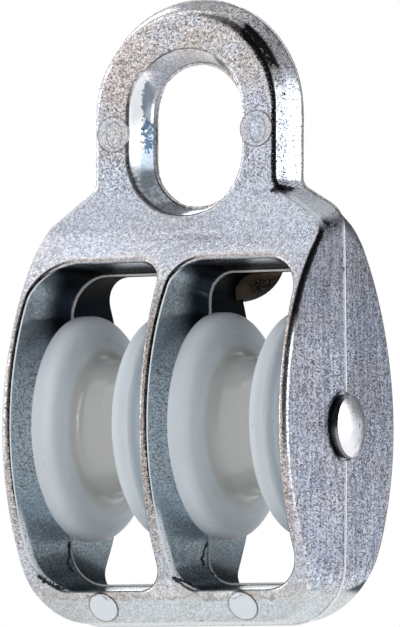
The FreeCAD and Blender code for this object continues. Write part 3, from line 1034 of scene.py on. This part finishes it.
def makeBurr(name, outward, width, path, material):
    up = Vector(outward).normalized()
    foot = up * tornFlash["rooted"]
    wander = tornFlash["wander"]
    spots = spotsAlong(path)
    last = len(spots) - 1
    shape = bmesh.new()
    rows = []
    for i, spot in enumerate(spots):
        along = (spots[min(i + 1, last)] - spots[max(i - 1, 0)]).normalized()
        across = along.cross(up).normalized()
        fade = min(1.0, tornFlash["tipSize"] + min(i, last - i) * tornFlash["tipGrowth"])
        half = across * (width * fade * random.uniform(*tornFlash["widths"]))
        tall = up * (tornFlash["height"] * fade * random.uniform(*tornFlash["heights"]))
        spot = spot + across * random.uniform(-wander, wander)
        crest = [spot + half * sideways + tall * upward for sideways, upward in tornFlash["crest"]]
        corners = [spot - half - foot, *crest, spot + half - foot]
        rows.append([shape.verts.new(corner / perMetre) for corner in corners])
    for row, following in zip(rows, rows[1:]):
        for i in range(4):
            shape.faces.new((row[i], row[(i + 1) % 4], following[(i + 1) % 4], following[i]))
    shape.faces.new(rows[0])
    shape.faces.new(rows[-1])
    bmesh.ops.recalc_face_normals(shape, faces=shape.faces)
    mesh = bpy.data.meshes.new(name)
    shape.to_mesh(mesh)
    shape.free()
    mesh.materials.append(material)
    burr = bpy.data.objects.new(name, mesh)
    scene.collection.objects.link(burr)
    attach(burr, "block")


random.seed(tornFlash["seed"])
tornMaterial = makeTornMaterial()
for name, (outward, width, path) in tornFlash["burrs"].items():
    makeBurr(name, outward, width, path, tornMaterial)
print("torn flash in the bays")


# Camera and studio, in metres

camera = {
    "place": (0.60649, -1.14812, -0.11485),
    "heading": 27.838,  # degrees, counter-clockwise from +Y
    "tilt": 3.746,  # looking up
    "roll": 0.21,
    "lens": 446.54,
    "nearest": 0.1,
    "farthest": 50,
}

studio = {
    "centre": (0, 0, -0.02),
    "floorHeight": -0.13,
    "floorRadius": 3.0,
    "floorColour": (0.9, 0.9, 0.9, 1),
    "floorRoughness": 0.8,
    "floorGlow": 0.78,
    "floorFade": (0.4, 2.85),  # radii between which the floor turns white
    "ambientColour": (0.93, 0.96, 1, 1),
    "ambientStrength": 0.72,
    "cardColour": (0.005, 0.005, 0.005, 1),
    "cardGlow": (0.95, 0.97, 1, 1),
    # name, azimuth from +X towards +Y, elevation, distance, width, height, brightness
    "softboxes": [
        ("sideBox", 7, 0, 0.6, 0.40, 0.55, 2.7),
        ("leftBox", 203, 0, 0.7, 0.4, 0.6, 1.5),
        ("rearLeftBox", 120, 13, 0.6, 0.32, 0.30, 5.0),
        ("topLeftBox", 186, 62, 0.7, 0.5, 0.5, 0.57),
    ],
    # a strip that only the left sheave mirrors
    "sheaveStrip": ("sheaveStrip", -50, -4, 0.6, 0.27, 1.7, 17.0),
    # cards that give the metal something darker to mirror, with their brightness
    "cards": [
        ("cameraSideCard", -56, 10, 0.55, 1.06, 1.15, 0.0),
        ("topFrontCard", -75, 68, 0.5, 0.5, 0.42, 0.0),
        ("topRightCard", -10, 64, 0.5, 0.5, 0.75, 0.0),
        ("rightRearCard", 58, 20, 0.5, 0.3, 0.28, 0.20),
        ("rightRearLowCard", 58, -12, 0.5, 0.3, 0.28, 0.70),
        ("rearCard", 92, 6, 0.45, 0.3, 0.45, 0.10),
        ("rearLowCard", 120, -12.5, 0.58, 0.4, 0.32, 0.03),
        ("rearTopCard", 126, 44, 0.5, 0.4, 0.30, 0.45),
    ],
}


def stationOf(azimuth, elevation, distance):
    turnZ, turnUp = math.radians(azimuth), math.radians(elevation)
    out = Vector((math.cos(turnZ) * math.cos(turnUp), math.sin(turnZ) * math.cos(turnUp), math.sin(turnUp)))
    facing = out.to_track_quat("Z", "Y").to_matrix().to_4x4()
    return Matrix.Translation(Vector(studio["centre"]) + out * distance) @ facing


def link(thing):
    scene.collection.objects.link(thing)
    return thing


def makeCamera():
    data = bpy.data.cameras.new("camera")
    data.lens = camera["lens"]
    data.clip_start = camera["nearest"]
    data.clip_end = camera["farthest"]
    made = link(bpy.data.objects.new("camera", data))
    heading = Matrix.Rotation(math.radians(camera["heading"]), 4, "Z")
    tilt = Matrix.Rotation(math.radians(90 + camera["tilt"]), 4, "X")
    roll = Matrix.Rotation(math.radians(camera["roll"]), 4, "Z")
    made.matrix_world = Matrix.Translation(camera["place"]) @ heading @ tilt @ roll
    scene.camera = made


def seenDirectly(tree):
    path = addNode(tree, "LightPath").outputs
    return highest(tree, path["Is Camera Ray"], path["Is Glossy Ray"], path["Is Transmission Ray"])


def makeWorld():
    world = bpy.data.worlds.new("studioWorld")
    scene.world = world
    world.use_nodes = True
    tree = world.node_tree
    tree.nodes.clear()
    ambient = addNode(tree, "Background", {"Color": studio["ambientColour"],
                                           "Strength": studio["ambientStrength"]})
    white = addNode(tree, "Background", {"Color": (1, 1, 1, 1), "Strength": 1.0})
    mixed = addNode(tree, "MixShader", {0: seenDirectly(tree), 1: ambient.outputs[0], 2: white.outputs[0]})
    addNode(tree, "OutputWorld", {"Surface": mixed.outputs[0]})
    spreadNodes(tree)


def makeFloor():
    mesh = bpy.data.meshes.new("floor")
    corners = 64
    radius = studio["floorRadius"]
    turns = [i * math.tau / corners for i in range(corners)]
    ring = [(radius * math.cos(turn), radius * math.sin(turn), 0) for turn in turns]
    mesh.from_pydata(ring, [], [range(corners)])
    floor = link(bpy.data.objects.new("floor", mesh))
    floor.location.z = studio["floorHeight"]
    on = newMaterial("paleFloor")
    tree = on.tree
    feed(tree, on.sockets, {"Base Color": studio["floorColour"], "Roughness": studio["floorRoughness"]})
    white = addNode(tree, "Emission", {"Color": (1, 1, 1, 1), "Strength": 1.0})
    fade = rise(tree, lengthOf(tree, on.place), *(perMetre * edge for edge in studio["floorFade"]))
    fade = highest(tree, fade, product(tree, seenDirectly(tree), studio["floorGlow"]))
    mixed = addNode(tree, "MixShader", {0: fade, 1: on.shader.outputs[0], 2: white.outputs[0]})
    tree.links.new(mixed.outputs[0], tree.nodes["Material Output"].inputs["Surface"])
    spreadNodes(tree)
    mesh.materials.append(on.material)


def makeSoftbox(name, azimuth, elevation, distance, width, height, brightness):
    data = bpy.data.lights.new(name, "AREA")
    data.shape = "RECTANGLE"
    data.size = width
    data.size_y = height
    data.energy = brightness * math.pi * width * height
    made = link(bpy.data.objects.new(name, data))
    made.matrix_world = stationOf(azimuth, elevation, distance)
    made.visible_camera = False
    return made


def makeCard(name, azimuth, elevation, distance, width, height, brightness):
    mesh = bpy.data.meshes.new(name)
    x, y = width / 2, height / 2
    mesh.from_pydata([(-x, -y, 0), (x, -y, 0), (x, y, 0), (-x, y, 0)], [], [(0, 1, 2, 3)])
    on = newMaterial(name)
    feed(on.tree, on.sockets, {
        "Base Color": studio["cardColour"],
        "Roughness": 1.0,
        "Specular IOR Level": 0.0,
        "Emission Color": studio["cardGlow"],
        "Emission Strength": brightness,
    })
    mesh.materials.append(on.material)
    card = link(bpy.data.objects.new(name, mesh))
    card.matrix_world = stationOf(azimuth, elevation, distance)
    card.visible_camera = False
    card.visible_diffuse = False
    card.visible_shadow = False


def makeStudio():
    makeCamera()
    makeWorld()
    makeFloor()
    for softbox in studio["softboxes"]:
        makeSoftbox(*softbox)
    strip = makeSoftbox(*studio["sheaveStrip"])
    strip.visible_diffuse = False
    receivers = bpy.data.collections.new("sheaveStripReceivers")
    receivers.objects.link(nodes["sheave_left"])
    strip.light_linking.receiver_collection = receivers
    for card in studio["cards"]:
        makeCard(*card)


makeStudio()
print("camera and studio ready")
